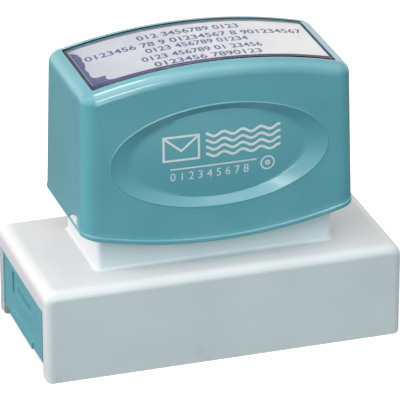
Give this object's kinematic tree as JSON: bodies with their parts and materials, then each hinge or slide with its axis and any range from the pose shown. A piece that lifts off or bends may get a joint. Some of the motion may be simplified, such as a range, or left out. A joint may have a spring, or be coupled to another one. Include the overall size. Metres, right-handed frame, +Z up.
{
  "type": "address stamp",
  "caption": "Pre-inked hand stamp: a pale sprung skirt, a teal arched handle with an index window on top, and a die carrier that slides down through the skirt.",
  "frame": {"origin": "centre of the skirt's footprint, on the paper", "axes": "+X along the stamp to its right end, +Y from front to back, +Z up"},
  "size_m": [0.083, 0.0396, 0.0685],
  "materials": {
    "skirt_plastic": "satin moulded plastic",
    "carrier_plastic": "satin moulded plastic",
    "handle_plastic": "glossy moulded plastic",
    "inner_plastic": "satin moulded plastic",
    "clear_plastic": "clear polished plastic",
    "card_paper": "smooth printed paper",
    "ink_card": "coated card in the ink's colour",
    "die_rubber": "microporous rubber",
    "plug_rubber": "moulded rubber",
    "ink_felt": "inked felt",
    "spring_steel": "drawn spring wire",
    "screw_steel": "zinc-plated steel"
  },
  "bodies": {
    "skirt": {"skirt_shell": "skirt_plastic"},
    "press_unit": {"carrier": "carrier_plastic", "die_frame": "carrier_plastic", "stamp_die": "die_rubber", "ink_pad": "ink_felt", "ink_wick": "ink_felt", "filler_plug": "plug_rubber", "crosshead": "inner_plastic", "left_post_screw": "screw_steel", "right_post_screw": "screw_steel", "left_spring": "spring_steel", "right_spring": "spring_steel"},
    "left_panel": {"left_end_panel": "carrier_plastic"},
    "right_panel": {"right_end_panel": "carrier_plastic"},
    "handle": {"handle_shell": "handle_plastic", "handle_core": "inner_plastic", "index_window": "clear_plastic", "index_card": "card_paper", "colour_card": "ink_card"}
  },
  "joints": [
    {"name": "press", "type": "slide", "parent": "skirt", "child": "press_unit", "axis": [0, 0, -1], "range_m": [0, 0.0034], "stiffness_N_per_m": 1500, "springref_m": -0.004, "deforming": ["left_spring", "right_spring"]},
    {"name": "left_panel_rock", "type": "hinge", "parent": "press_unit", "child": "left_panel", "pos_m": [-0.0387, 0, 0.0087], "axis": [0, 1, 0], "range_deg": [0, 7], "stiffness_Nm_per_rad": 0.01, "springref_deg": -11.46},
    {"name": "right_panel_rock", "type": "hinge", "parent": "press_unit", "child": "right_panel", "pos_m": [0.0387, 0, 0.0087], "axis": [0, -1, 0], "range_deg": [0, 7], "stiffness_Nm_per_rad": 0.01, "springref_deg": -11.46},
    {"name": "handle_pull", "type": "slide", "parent": "press_unit", "child": "handle", "axis": [0, 0, 1], "range_m": [0, 0.025]}
  ]
}
